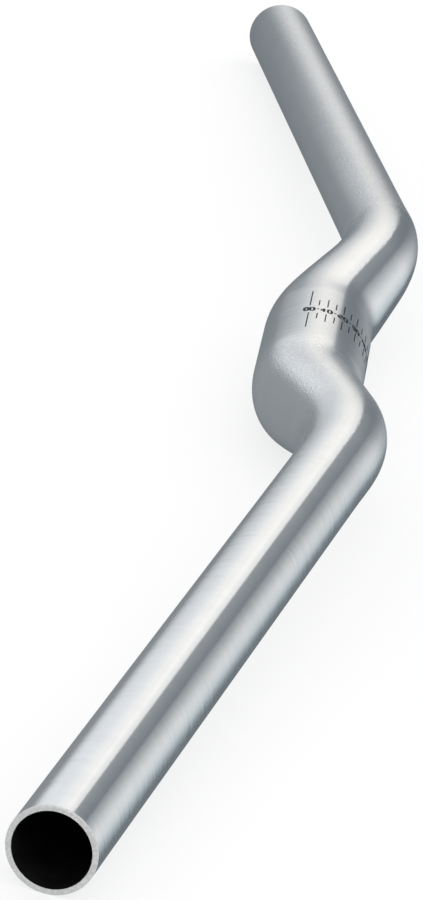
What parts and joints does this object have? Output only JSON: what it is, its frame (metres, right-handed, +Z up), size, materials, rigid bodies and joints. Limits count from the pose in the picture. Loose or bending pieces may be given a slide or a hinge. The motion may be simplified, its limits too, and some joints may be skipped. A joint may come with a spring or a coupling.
{
  "type": "flat handlebar",
  "caption": "Flat bicycle handlebar: one butted aluminium tube, bent forward and then back on each side, with a thick stem clamp zone tapering to slimmer grip ends.",
  "frame": {"origin": "centre of the stem clamp zone, on its axis", "axes": "+X along the clamp axis to the rider's right, +Z up and +Y forward with the bar lying at rest on its clamp zone and both grip ends; on a bicycle it is rolled about X, by about -31 degrees for level bends"},
  "size_m": [0.7838, 0.071, 0.0361],
  "materials": {
    "polished_aluminium": "satin polish with fine brush marks around the tube"
  },
  "bodies": {
    "root": {"handlebar": "polished_aluminium"}
  },
  "joints": []
}
